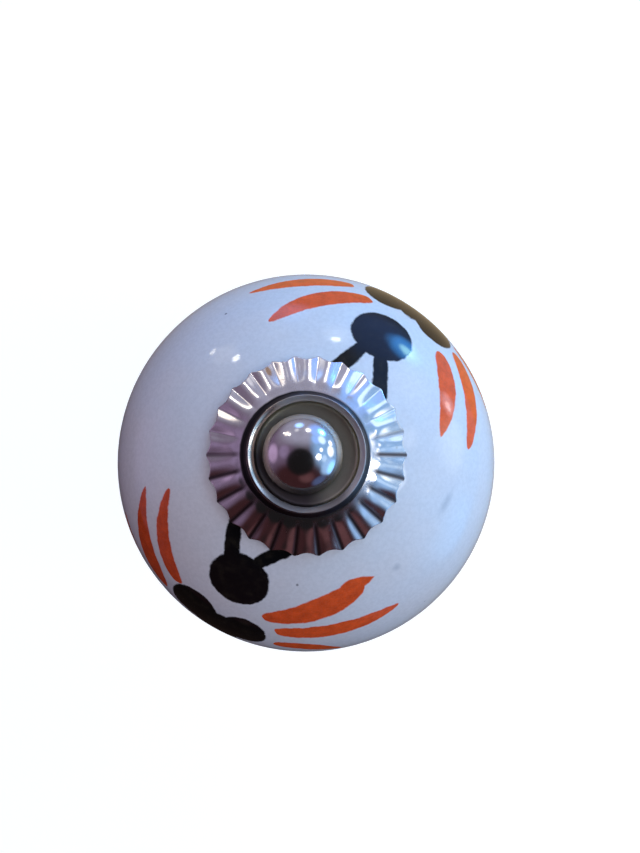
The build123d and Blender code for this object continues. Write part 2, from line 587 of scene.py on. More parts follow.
@dataclass(frozen=True)
class GlazeFinish:
    """White glazed clay with the insects painted under a clear, wet-looking glaze.

    The painting, its edges and the specks are in millimetres along the glaze. The noises read metres of
    the ball, and those of pools, bristles and soot read the chart's millimetres.
    """

    clay: Colour = (0.69, 0.71, 0.75)
    clay_warm: Colour = (0.71, 0.70, 0.72)
    speck: Colour = (0.12, 0.12, 0.14)
    smudge: Colour = (0.36, 0.40, 0.46)
    orange_thick: Colour = (0.56, 0.054, 0.003)
    orange_thin: Colour = (1.0, 0.118, 0.012)
    black: Colour = (0.002, 0.002, 0.0025)
    black_thin: Colour = (0.012, 0.010, 0.007)
    biscuit: Colour = (0.62, 0.57, 0.50)
    gloss: float = 0.07
    gloss_drift: float = 0.05
    biscuit_rough: float = 0.75
    refraction: float = 1.40
    ripple: float = 0.10
    ripple_depth: float = 0.12 * MM
    ripples: Noise = Noise(260.0, 2.0, 0.4)
    clouds: Noise = Noise(90.0, 3.0, 0.55)
    cloud_span: Point = (0.35, 0.65)
    grains: Noise = Noise(2600.0, 2.0, 0.6)
    grain_span: Point = (0.30, 0.70)
    grain: float = 0.035
    grain_bump: float = 0.08
    frays: Noise = Noise(900.0, 3.0, 0.7)
    fray: float = 0.44
    pools: Noise = Noise(0.9, 4.0, 0.65)
    pool: float = 1.6
    bristles: Noise = Noise(5.0, 3.0, 0.7)
    bristle_span: Point = (0.30, 0.75)
    bristle_cover: float = 0.965
    soot: Noise = Noise(0.8, 4.0, 0.6)
    soot_span: Point = (0.45, 0.75)
    black_cover: float = 0.997
    mid_tint: float = 0.5
    paint_edge: float = 0.12
    smudge_edge: float = 0.4
    smudge_cover: float = 0.5
    speck_half: Point = (0.13, 0.11)
    speck_edge: float = 0.06
    speck_cover: float = 0.8
    bore_edge: Point = span(0.2, 0.8)
    foot_edge: Point = span(0.1, 0.5)
    insects: tuple[Insect, ...] = (UPPER_INSECT, LOWER_INSECT)
    specks: tuple[Point, ...] = ((-9.0, 15.8), (-0.9, -12.2), (14.4, -17.5))
    smudges: tuple[Blot, ...] = (
        Blot((14.0, -4.6), (0.35, 1.0), math.radians(-35)),
        Blot((8.8, -10.9), (0.3, 0.3)),
    )

    def material(self, ball: "PaintedBall") -> bpy.types.Material:
        """Wire the glaze over the painting.

        Args:
            ball: The ball that is painted, for its sizes.

        Returns:
            The finished material.
        """
        surface = Surface(f"{Slot.CERAMIC.value}_painted")
        sockets = surface.shader.inputs
        cloud = surface.noise(surface.coords, self.clouds)
        fine = surface.noise(surface.coords, self.grains)
        ragged = surface.times(surface.drift(surface.coords, self.frays), self.fray)
        canvas = Canvas(surface, self._chart(surface, ball), ragged)
        colour = self._paint(canvas, self._clay(canvas, cloud, fine))
        bare = self._bare(surface, ball)
        surface.feed(sockets["Base Color"], surface.mix(bare, colour, self.biscuit))
        smoothest = self.gloss - self.gloss_drift / 2.0
        wet = surface.maths("MULTIPLY_ADD", cloud, self.gloss_drift, smoothest)
        surface.feed(sockets["Roughness"], surface.maths("MULTIPLY_ADD", bare, self.biscuit_rough, wet))
        sockets["IOR"].default_value = self.refraction
        waves = surface.noise(surface.coords, self.ripples)
        height = surface.maths("MULTIPLY_ADD", fine, self.grain_bump, waves)
        surface.bump(height, self.ripple, self.ripple_depth)
        return surface.material

    def _chart(self, surface: Surface, ball: "PaintedBall") -> Socket:
        """Roll the ball out flat from its front pole.

        Args:
            surface: The material's graph.
            ball: The ball, for its radius and half height.

        Returns:
            Chart coordinates in millimetres along the glaze.
        """
        centred = surface.vectors("SUBTRACT", surface.coords, (0.0, 0.0, ball.widest))
        flat = surface.flat(centred)
        out = surface.length(flat)
        height = surface.maths("DIVIDE", surface.split(centred)["Z"], ball.half_height)
        angle = surface.maths("ARCTAN2", surface.maths("DIVIDE", out, ball.radius), height)
        stretch = surface.maths("DIVIDE", surface.times(angle, ball.radius / MM), out)
        scaled = surface.add("ShaderNodeVectorMath", operation="SCALE")
        surface.feed(scaled.inputs[0], flat)
        surface.feed(scaled.inputs["Scale"], stretch)
        return scaled.outputs[0]

    def _clay(self, canvas: Canvas, cloud: Feed, fine: Feed) -> Socket:
        """Colour the clay, with its faint smudges and few dark specks.

        Args:
            canvas: The ball's chart.
            cloud: Slow noise over the ball.
            fine: Fine noise over the ball.

        Returns:
            The clay's colour.
        """
        graph = canvas.graph
        colour = graph.mix(graph.step(cloud, *self.cloud_span), self.clay, self.clay_warm)
        grained = graph.add("ShaderNodeHueSaturation")
        graph.feed(grained.inputs["Color"], colour)
        lift = graph.step(fine, *self.grain_span, -self.grain, self.grain)
        graph.feed(grained.inputs["Value"], graph.maths("ADD", 1.0, lift))
        cover = graph.times(canvas.blots(self.smudges, self.smudge_edge), self.smudge_cover)
        colour = graph.mix(cover, grained.outputs[0], self.smudge)
        specks = [Blot(centre, self.speck_half) for centre in self.specks]
        cover = graph.times(canvas.blots(specks, self.speck_edge), self.speck_cover)
        return graph.mix(cover, colour, self.speck)

    def _paint(self, canvas: Canvas, clay: Feed) -> Socket:
        """Colour the painting, where orange pools and black goes over it.

        Args:
            canvas: The ball's chart.
            clay: The clay's colour.

        Returns:
            The painted clay's colour.
        """
        graph, chart = canvas.graph, canvas.chart
        orange, tint, black = self._insects(canvas)
        thin = graph.maths("MULTIPLY_ADD", graph.drift(chart, self.pools), self.pool, tint, clamp=True)
        wash = graph.mix(thin, self.orange_thick, self.orange_thin)
        bristles = graph.noise(chart, self.bristles)
        laid = graph.step(bristles, *self.bristle_span, self.bristle_cover, 1.0)
        colour = graph.mix(graph.times(orange, laid), clay, wash)
        thinned = graph.step(graph.noise(chart, self.soot), *self.soot_span)
        soot = graph.mix(thinned, self.black, self.black_thin)
        return graph.mix(graph.times(black, self.black_cover), colour, soot)

    def _insects(self, canvas: Canvas) -> tuple[Feed, Feed, Feed]:
        """Lay every stroke and blot of the insects.

        Args:
            canvas: The ball's chart.

        Returns:
            Cover and tint of the orange, and cover of the black.
        """
        orange: Feed = 0.0
        tint: Feed = self.mid_tint
        black: Feed = 0.0
        for insect in self.insects:
            for wing in insect.wings:
                laid = canvas.stroke(wing, orange, tint)
                orange, tint = laid["Cover"], laid["Tint"]
            for feeler in insect.feelers:
                black = canvas.stroke(feeler, black, self.mid_tint)["Cover"]
            black = canvas.blots(insect.blots(), self.paint_edge, black)
        return orange, tint, black

    def _bare(self, surface: Surface, ball: "PaintedBall") -> Socket:
        """Find where the clay stays bare: the bore and the flat foot.

        Args:
            surface: The material's graph.
            ball: The ball, for its bore and foot.

        Returns:
            The bare clay's cover.
        """
        out = surface.length(surface.flat(surface.coords))
        bore = surface.step(out, *(ball.bore + edge for edge in self.bore_edge), 1.0, 0.0)
        height = surface.split(surface.coords)["Z"]
        foot = surface.step(height, *(ball.foot + edge for edge in self.foot_edge), 1.0, 0.0)
        return surface.maths("MAXIMUM", bore, foot)


@dataclass(frozen=True)
class SoilAndLight:
    """A ring of colour about an axis, by spans of radius and height in metres. Some rings are tarnish;
    others are painted shade, painted highlight or painted reflection.

    It comes in over the first span of radius, and goes out over the second and over the height's.
    Left as they are, the spans take in the whole piece.
    With a spread, it lies on one side only and goes out between those two angles from its heading.
    With creases, it keeps to that many lines out from the axis, and goes out over the span beside them.
    """

    colour: Colour
    rough: float
    fade_in: Point = span(0.0, 1.0)
    fade_out: Point = span(9.0, 9.5)
    fade_up: Point = (1.0, 2.0)
    axis: Point = (0.0, 0.0)
    heading: float = 0.0
    spread: Point = (180.0, 180.0)
    creases: int = 0
    fade_aside: Point = (0.0, 0.0)


@dataclass(frozen=True)
class Stain:
    """A spot where the plating has worn brown, by its place across the knob in metres."""

    colour: Colour
    centre: Point
    half: Point
    turn: float


@dataclass(frozen=True)
class PlateFinish:
    """Metal plating, with handling haze, fine wear, tarnish and worn stains, and painted shade, highlights
    and reflections.
    """

    name: str
    metal: Colour
    dull: Colour
    polish: float
    haze: float
    bump: float
    soils_and_light: tuple[SoilAndLight, ...] = ()
    stains: tuple[Stain, ...] = ()
    haze_size: float = 420.0
    haze_dulls: float = 0.55
    speck_size: float = 2400.0
    speck_dulls: float = 0.35
    speck_rough: float = 0.08
    speck_pit: float = -0.5
    bump_depth: float = 0.02 * MM
    ring_noise: Noise = Noise(700.0, 3.0, 0.6)
    ring_drift: float = 0.15 * MM
    stain_noise: Noise = Noise(2600.0, 3.0, 0.6)
    stain_drift: float = 0.9
    stain_edge: Point = (0.55, 1.05)
    stain_cover: float = 0.85

    def material(self, wear: WearEffect) -> bpy.types.Material:
        """Wire the plating.

        Args:
            wear: The shared wear marks.

        Returns:
            The finished material.
        """
        surface = Surface(self.name)
        sockets = surface.shader.inputs
        sizes = {"Place": surface.coords, "Haze Size": self.haze_size, "Speck Size": self.speck_size}
        marks = surface.place(wear.tree, sizes).outputs
        specked = surface.times(marks["Specks"], self.speck_dulls)
        dulled = surface.maths("MULTIPLY_ADD", marks["Haze"], self.haze_dulls, specked)
        colour = surface.mix(dulled, self.metal, self.dull)
        rough = surface.maths("MULTIPLY_ADD", marks["Haze"], self.haze, self.polish)
        rough = surface.maths("MULTIPLY_ADD", marks["Specks"], self.speck_rough, rough)
        # Rings of tarnish, and rings of painted shade, painted highlight and painted reflection, over the
        # plating.
        for soil_and_light in self.soils_and_light:
            cover = self._soil_and_light_cover(surface, soil_and_light)
            colour = surface.mix(cover, colour, soil_and_light.colour)
            rough = surface.maths("MULTIPLY_ADD", surface.minus(soil_and_light.rough, rough), cover, rough)
        for stain in self.stains:
            colour = surface.mix(self._stain(surface, stain), colour, stain.colour)
        surface.feed(sockets["Base Color"], colour)
        surface.feed(sockets["Roughness"], rough)
        sockets["Metallic"].default_value = 1.0
        height = surface.maths("MULTIPLY_ADD", marks["Specks"], self.speck_pit, marks["Grain"])
        surface.bump(height, self.bump, self.bump_depth)
        return surface.material

    def _soil_and_light_cover(self, surface: Surface, soil_and_light: SoilAndLight) -> Socket:
        """Cover of one tinted ring, tarnish or painted light, broken a little by noise.

        Args:
            surface: The material's graph.
            soil_and_light: The ring.

        Returns:
            The cover's socket.
        """
        flat = surface.flat(surface.vectors("SUBTRACT", surface.coords, (*soil_and_light.axis, 0.0)))
        uneven = surface.drift(surface.coords, self.ring_noise)
        out = surface.maths("MULTIPLY_ADD", uneven, self.ring_drift, surface.length(flat))
        height = surface.split(surface.coords)["Z"]
        cover = surface.times(surface.step(out, *soil_and_light.fade_in), surface.step(out, *soil_and_light.fade_out, 1.0, 0.0))
        cover = surface.times(cover, surface.step(height, *soil_and_light.fade_up, 1.0, 0.0))
        if soil_and_light.creases:
            cover = surface.times(cover, self._creases(surface, flat, out, soil_and_light))
        inner, outer = (math.cos(math.radians(angle)) for angle in soil_and_light.spread)
        if inner <= outer:
            return cover
        heading = (math.cos(math.radians(soil_and_light.heading)), math.sin(math.radians(soil_and_light.heading)), 0.0)
        facing = surface.dot(surface.vectors("NORMALIZE", flat), heading)
        return surface.times(cover, surface.step(facing, outer, inner))

    def _creases(self, surface: Surface, flat: Feed, out: Feed, soil_and_light: SoilAndLight) -> Socket:
        """Cover of the lines that a ring keeps to.

        Args:
            surface: The material's graph.
            flat: Place across the soil's axis, in metres.
            out: Distance from that axis.
            soil_and_light: The ring that keeps to the creases.

        Returns:
            The cover's socket.
        """
        across = surface.split(flat)
        turn = surface.maths("ARCTAN2", across["Y"], across["X"])
        off = surface.maths("PINGPONG", turn, math.pi / soil_and_light.creases)
        return surface.step(surface.times(off, out), *soil_and_light.fade_aside, 1.0, 0.0)

    def _stain(self, surface: Surface, stain: Stain) -> Socket:
        """Cover of one worn spot, with a blotchy edge.

        Args:
            surface: The material's graph.
            stain: The spot.

        Returns:
            The cover's socket.
        """
        offset = surface.vectors("SUBTRACT", surface.coords, (*stain.centre, 0.0))
        shrink = (*(1.0 / half for half in stain.half), 0.0)
        share = surface.length(surface.vectors("MULTIPLY", surface.turned(offset, -stain.turn), shrink))
        uneven = surface.drift(surface.coords, self.stain_noise)
        share = surface.maths("MULTIPLY_ADD", uneven, self.stain_drift, share)
        return surface.step(share, *self.stain_edge, self.stain_cover, 0.0)


BRIGHT = ((0.74, 0.72, 0.73), (0.52, 0.49, 0.48))
# Painted shade: near-black where the cap's collar meets the cup, and on the cup's outer wall.
COLLAR_SHADE = (0.030, 0.028, 0.030)
WALL_SHADE = (0.050, 0.046, 0.048)
SCREW_AXIS = span(-0.35, 0.0)
COLLAR_SHADE_AXIS = span(-0.32, 0.03)
WALL_SHADE_AXIS = span(-0.19, -0.05)
BOWL_EDGE = span(4.38, 4.46)
BOWL_TOP = span(35.64, 35.71)
RIM_EDGE = span(4.36, 4.46)
SCREW_PLATE = PlateFinish(
    "bright_plating_screw", *BRIGHT, polish=0.08, haze=0.08, bump=0.05,
    soils_and_light=(
        # Painted reflection: a dull brownish band round the outer flank of the dome.
        SoilAndLight((0.34, 0.30, 0.26), 0.45, span(2.86, 3.06), span(3.36, 3.42), axis=SCREW_AXIS),
        # Painted reflection: warm beige over the upper-left side of the dome's flank.
        SoilAndLight(
            (0.94, 0.83, 0.70), 0.50, span(2.68, 2.98), span(3.28, 3.34), axis=SCREW_AXIS,
            heading=112.0, spread=(105.0, 160.0),
        ),
        # Painted shade: the flange darker all round except at the top.
        SoilAndLight(
            (0.17, 0.155, 0.12), 0.4, span(3.34, 3.42), axis=SCREW_AXIS,
            heading=-80.0, spread=(115.0, 138.0),
        ),
    ),
)
CAP_PLATE = PlateFinish(
    "bright_plating_cap", *BRIGHT, polish=0.13, haze=0.10, bump=0.06,
    soils_and_light=(
        # Painted shade: near-black where the collar runs under the cup.
        SoilAndLight(COLLAR_SHADE, 0.5, fade_out=span(5.28, 5.46), axis=COLLAR_SHADE_AXIS),
        # Painted shade: dark maroon in the creases on the lower side of the skirt.
        SoilAndLight(
            (0.105, 0.085, 0.085), 0.42, span(5.4, 6.3),
            heading=-85.0, spread=(88.0, 112.0), creases=FLUTES, fade_aside=span(0.02, 0.36),
        ),
    ),
    stains=(Stain((0.56, 0.34, 0.17), span(-3.35, 7.25), span(0.26, 0.65), math.radians(24)),),
)
CUP_PLATE = PlateFinish(
    "bright_plating_cup", *BRIGHT, polish=0.20, haze=0.06, bump=0.06,
    soils_and_light=(
        SoilAndLight((0.64, 0.58, 0.43), 0.42, fade_out=BOWL_EDGE, fade_up=BOWL_TOP),
        # Painted shade: the bowl darker towards the lower left.
        SoilAndLight(
            (0.15, 0.12, 0.115), 0.42, fade_out=BOWL_EDGE, fade_up=BOWL_TOP,
            heading=-132.0, spread=(38.0, 76.0),
        ),
        SoilAndLight((0.70, 0.68, 0.66), 0.50, RIM_EDGE, heading=-10.0, spread=(130.0, 152.0)),
        # Painted shade: the rim darker at the bottom.
        SoilAndLight((0.36, 0.33, 0.30), 0.46, RIM_EDGE, heading=-92.0, spread=(34.0, 60.0)),
        # Painted highlight: the rim bright and warm on the left.
        SoilAndLight((1.0, 0.89, 0.73), 0.17, RIM_EDGE, heading=172.0, spread=(34.0, 62.0)),
        # Painted shade: near-black on the cup's flared outer wall.
        SoilAndLight(WALL_SHADE, 0.5, span(4.84, 4.94), fade_up=span(35.62, 35.88), axis=WALL_SHADE_AXIS),
    ),
)
FERRULE_PLATE = PlateFinish("bright_plating_ferrule", *BRIGHT, polish=0.10, haze=0.10, bump=0.05)
ZINC_PLATE = PlateFinish(
    "zinc_plating", (0.60, 0.62, 0.65), (0.42, 0.43, 0.44), polish=0.26, haze=0.16, bump=0.12
)


class Bench:
    """Hand modelling of one new mesh piece with Blender's own tools."""

    def __init__(self, name: str, blank: Blank, **sizes: object) -> None:
        """Add the primitive that the piece starts from.

        Args:
            name: The piece's name.
            blank: The primitive's kind.
            **sizes: Its sizes and place.
        """
        bpy.ops.object.select_all(action="DESELECT")
        getattr(bpy.ops.mesh, f"primitive_{blank.value}_add")(**sizes)
        self.piece = bpy.context.object
        self.piece.name = name
        bpy.ops.object.transform_apply(location=True, rotation=True, scale=True)

    @contextmanager
    def edit(self) -> Iterator[None]:
        """Work in edit mode, by vertices."""
        bpy.ops.object.mode_set(mode="EDIT")
        bpy.context.tool_settings.mesh_select_mode = (True, False, False)
        yield
        bpy.ops.object.mode_set(mode="OBJECT")

    def pick(self, test: Callable[[Vector], bool]) -> None:
        """Select the vertices that pass a test of their place.

        Args:
            test: Says of a place whether it is picked.
        """
        bpy.ops.mesh.select_all(action="DESELECT")
        mesh = bmesh.from_edit_mesh(self.piece.data)
        for vertex in mesh.verts:
            if test(vertex.co):
                vertex.select_set(True)
        mesh.select_flush(True)
        bmesh.update_edit_mesh(self.piece.data)

    def ring(self, grow: float, rise: float, centre: Vector) -> None:
        """Extrude the selected loop into a new one.

        Args:
            grow: Factor on its radius.
            rise: How far it moves up.
            centre: A point on the axis.
        """
        bpy.ops.mesh.extrude_region_move(TRANSFORM_OT_translate={"value": (0.0, 0.0, rise)})
        if not math.isclose(grow, 1.0):
            bpy.ops.transform.resize(value=(grow, grow, 1.0), center_override=tuple(centre))

    def draw_out(self, section: Iterable[Point], start: Point, centre: Vector) -> None:
        """Extrude the selected loop along a section.

        Args:
            section: Radius and height of each new ring.
            start: Radius and height of the selected loop.
            centre: A point on the axis.
        """
        last, level = start
        for radius, height in section:
            self.ring(radius / last, height - level, centre)
            last, level = radius, height

    def modify(self, kind: str, **settings: object) -> None:
        """Add a modifier and apply it.

        Args:
            kind: The modifier's type.
            **settings: Its properties.
        """
        modifier = self.piece.modifiers.new(kind.lower(), kind)
        for name, value in settings.items():
            setattr(modifier, name, value)
        bpy.context.view_layer.objects.active = self.piece
        bpy.ops.object.modifier_apply(modifier=modifier.name)

    def close(self, smooth_angle: float) -> bpy.types.Object:
        """Merge doubles, turn the faces outwards and smooth the shading.

        Args:
            smooth_angle: Edges sharper than this stay sharp, in degrees.

        Returns:
            The finished piece.
        """
        with self.edit():
            bpy.ops.mesh.select_all(action="SELECT")
            bpy.ops.mesh.remove_doubles(threshold=SAME)
            bpy.ops.mesh.normals_make_consistent(inside=False)
        bpy.ops.object.shade_smooth_by_angle(angle=math.radians(smooth_angle))
        return self.piece


def dress(piece: bpy.types.Object, material: bpy.types.Material) -> None:
    """Give a piece one material.

    Args:
        piece: The piece or CAD node.
        material: Its finish.
    """
    slots = piece.material_slots
    if slots:
        for slot in slots:
            slot.material = material
    else:
        piece.data.materials.append(material)
    LOG.info("dressed %s with %s", piece.name, material.name)


@dataclass
class PlatedPiece(ABC):
    """A plated piece that is modelled anew and stands for a CAD node."""

    node: str
    plating: PlateFinish

    @abstractmethod
    def build(self) -> bpy.types.Object:
        """Model the piece."""

    def make(self, wear: WearEffect) -> None:
        """Build the piece, plate it and let it stand for its node.

        Args:
            wear: The shared wear marks.
        """
        piece = self.build()
        dress(piece, self.plating.material(wear))
        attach(piece, BODY)
        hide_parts(self.node)
        LOG.info("seated %s for %s, %d faces", piece.name, self.node, len(piece.data.polygons))


@dataclass
class PaintedBall:
    """The glazed ball, dressed in place."""

    node: str = "ceramic_body"
    finish: GlazeFinish = GlazeFinish()
    front_flat: float = 6.2 * MM
    widest: float = 19.0 * MM
    bore: float = 2.95 * MM
    radius: float = field(init=False)
    half_height: float = field(init=False)
    foot: float = field(init=False)

    def __post_init__(self) -> None:
        """Read the ball's radius and levels from its node."""
        low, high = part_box(self.node)
        self.radius = high.x
        self.foot = low.z
        self.half_height = (high.z - self.widest) / math.sqrt(1.0 - (self.front_flat / self.radius) ** 2)

    def dress(self) -> None:
        """Paint and glaze the ball."""
        dress(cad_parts[self.node], self.finish.material(self))


@dataclass
class FlutedCap(PlatedPiece):
    """The pressed cap: a flat collar, and a skirt of rounded flutes between sharp creases."""

    node: str = "fluted_cap"
    plating: PlateFinish = CAP_PLATE
    hole: float = 2.5 * MM
    collar: float = 5.35 * MM
    knee: float = 6.25 * MM
    knee_drop: float = 0.4 * MM
    box_sheet: float = 0.4 * MM
    sheet: float = 0.35 * MM
    flutes: int = FLUTES
    depth: float = 0.22 * MM
    sag: float = 0.09 * MM
    scallop: float = 0.4 * MM
    wander: float = 0.05 * MM
    wander_from: float = 6.9 * MM
    seed: int = 4
    top: float = field(init=False)
    crease: float = field(init=False)
    rim: float = field(init=False)

    COLUMNS_PER_FLUTE = 12
    COLLAR_RINGS = (3.4 * MM, 4.4 * MM)
    RUN_IN_STEPS = ((0.12, 0.0), (0.45, 0.05), (0.8, 0.2))
    SKIRT_STEPS = ((0.0, 0.32), (0.22, 0.75), (0.46, 1.0), (0.7, 1.05), (0.9, 1.05), (0.97, 1.0), (1.0, 1.0))
    WANDER_REACH = 0.36
    WANDER_DROP = (-1.0, 0.2)
    SMOOTH = 70.0

    def __post_init__(self) -> None:
        """Read the cap's levels from its node."""
        low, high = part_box(self.node)
        self.top = high.z
        self.crease = high.x
        self.rim = low.z + self.box_sheet

    def build(self) -> bpy.types.Object:
        """Model the cap: collar and creased skirt, then the flutes, then the sheet's thickness.

        Returns:
            The finished piece.
        """
        columns = self.flutes * self.COLUMNS_PER_FLUTE
        centre = Vector((0.0, 0.0, self.top))
        bench = Bench("pressed_cap", Blank.RING, vertices=columns, radius=self.hole, location=tuple(centre))
        section = [(radius, self.top) for radius in (*self.COLLAR_RINGS, self.collar)]
        section += [(radius, height) for radius, height, _, _ in self._rings()]
        with bench.edit():
            bpy.ops.mesh.select_all(action="SELECT")
            bench.draw_out(section, (self.hole, self.top), centre)
            self._raise_flutes(bench)
            self._wander(bench)
            bpy.ops.mesh.select_all(action="SELECT")
            bpy.ops.mesh.normals_make_consistent(inside=False)
        bench.modify("SOLIDIFY", thickness=self.sheet, offset=-1.0, use_even_offset=True)
        bench.modify("SUBSURF", levels=1, render_levels=1)
        return bench.close(self.SMOOTH)

    def _rings(self) -> list[tuple[float, float, float, float]]:
        """List the skirt's rings along a crease, from the collar to the rim.

        Returns:
            Each ring's radius and height, and how far its flutes rise and draw in.
        """
        knee_level = self.top - self.knee_drop
        slope = (knee_level - self.rim) / (self.crease - self.knee)
        rings = []
        for share, swell in self.RUN_IN_STEPS:
            radius = self.collar + share * (self.knee - self.collar)
            rings.append((radius, self.top - share * self.knee_drop, swell * self.depth, 0.0))
        for share, swell in self.SKIRT_STEPS:
            radius = self.knee + share * (self.crease - self.knee)
            height = knee_level + share * (self.rim - knee_level) - self.sag * math.sin(math.pi * share)
            drawn = share * self.scallop
            rings.append((radius, height, swell * self.depth + slope * drawn, drawn))
        return rings

    def _column(self, place: Vector) -> int:
        """Count the columns between a vertex and the nearest crease.

        Args:
            place: The vertex's place.

        Returns:
            The number of columns.
        """
        step = math.tau / (self.flutes * self.COLUMNS_PER_FLUTE)
        column = round(math.atan2(place.y, place.x) / step) % self.COLUMNS_PER_FLUTE
        return min(column, self.COLUMNS_PER_FLUTE - column)

    def _raise_flutes(self, bench: Bench) -> None:
        """Lift the rounded flutes out of the skirt, ring by ring.

        Args:
            bench: The bench that holds the plain skirt.
        """
        centre = (0.0, 0.0, self.top)
        for radius, height, depth, scallop in self._rings():
            for column in range(1, self.COLUMNS_PER_FLUTE // 2 + 1):
                lift = math.sin(math.pi * column / self.COLUMNS_PER_FLUTE)
                bench.pick(
                    lambda place: abs(place.z - height) < NEAR
                    and abs(math.hypot(place.x, place.y) - radius) < NEAR
                    and self._column(place) == column
                )
                shrink = 1.0 - lift * scallop / radius
                bpy.ops.transform.resize(value=(shrink, shrink, 1.0), center_override=centre)
                bpy.ops.transform.translate(value=(0.0, 0.0, lift * depth))

    def _wander(self, bench: Bench) -> None:
        """Push each flute a little off its place, as pressed sheet comes out.

        Args:
            bench: The bench that holds the fluted skirt.
        """
        draw = random.Random(self.seed)
        pitch = math.tau / self.flutes
        reach = self.WANDER_REACH * pitch
        for flute in range(self.flutes):
            angle = (flute + 0.5) * pitch
            bench.pick(
                lambda place: math.hypot(place.x, place.y) > self.wander_from
                and abs((math.atan2(place.y, place.x) - angle + math.pi) % math.tau - math.pi) < reach
            )
            aside = draw.uniform(-self.wander, self.wander)
            rise = draw.uniform(*self.WANDER_DROP) * self.wander
            bpy.ops.transform.translate(value=(-math.sin(angle) * aside, math.cos(angle) * aside, rise))


@dataclass
class CupWasher(PlatedPiece):
    """The cup under the screw's head: a dished bowl, a bevelled rim and a flared outside."""

    node: str = "cup_washer"
    plating: PlateFinish = CUP_PLATE
    hole: float = 2.5 * MM
    floor: float = 0.4 * MM
    bowl: float = 4.4 * MM
    bowl_round: float = 0.35 * MM
    bevel: Point = span(0.42, 0.20)
    edge: float = 0.03 * MM
    ease: float = 0.02 * MM
    rim: float = 4.9 * MM
    flare_hollow: float = 0.1 * MM
    columns: int = 144
    base: float = field(init=False)
    under: float = field(init=False)
    top: float = field(init=False)

    BOWL_TURNS = (0, 30, 60, 90)
    FLARE_SHARES = (0.06, 0.25, 0.5, 0.75, 1.0)
    SMOOTH = 50.0

    def __post_init__(self) -> None:
        """Read the cup's base and levels from its node."""
        low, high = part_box(self.node)
        self.base = high.x
        self.under = low.z
        self.top = high.z

    def build(self) -> bpy.types.Object:
        """Model the cup by drawing the edge of its hole out along its section.

        Returns:
            The finished piece.
        """
        level = self.under + self.floor
        centre = Vector((0.0, 0.0, level))
        bench = Bench(
            "bevelled_cup", Blank.RING, vertices=self.columns, radius=self.hole, location=tuple(centre)
        )
        with bench.edit():
            bpy.ops.mesh.select_all(action="SELECT")
            bench.draw_out(self._section(level), (self.hole, level), centre)
        return bench.close(self.SMOOTH)

    def _section(self, floor: float) -> list[Point]:
        """List the rings from the hole out over the rim and back underneath.

        Args:
            floor: Height of the bowl's floor.

        Returns:
            The radius and height of each ring.
        """
        corner = self.bowl - self.bowl_round
        bowl = []
        for turn in map(math.radians, self.BOWL_TURNS):
            out = corner + self.bowl_round * math.sin(turn)
            bowl.append((out, floor + self.bowl_round * (1.0 - math.cos(turn))))
        across, down = self.bevel
        crest = self.bowl + across
        rim = [
            (self.bowl, self.top - down - self.edge),
            (self.bowl + self.ease, self.top - down),
            (crest, self.top - self.ease),
            (crest + self.edge, self.top),
            (self.rim - self.edge, self.top - self.ease),
        ]
        run = Vector((self.base - self.rim, self.under - self.top))
        side = Vector((run.y, -run.x)).normalized() * self.flare_hollow
        flare = []
        for share in self.FLARE_SHARES:
            place = Vector((self.rim, self.top)) + run * share + side * (4.0 * share * (1.0 - share))
            flare.append((place.x, place.y))
        return [*bowl, *rim, *flare, (self.hole, self.under), (self.hole, floor)]


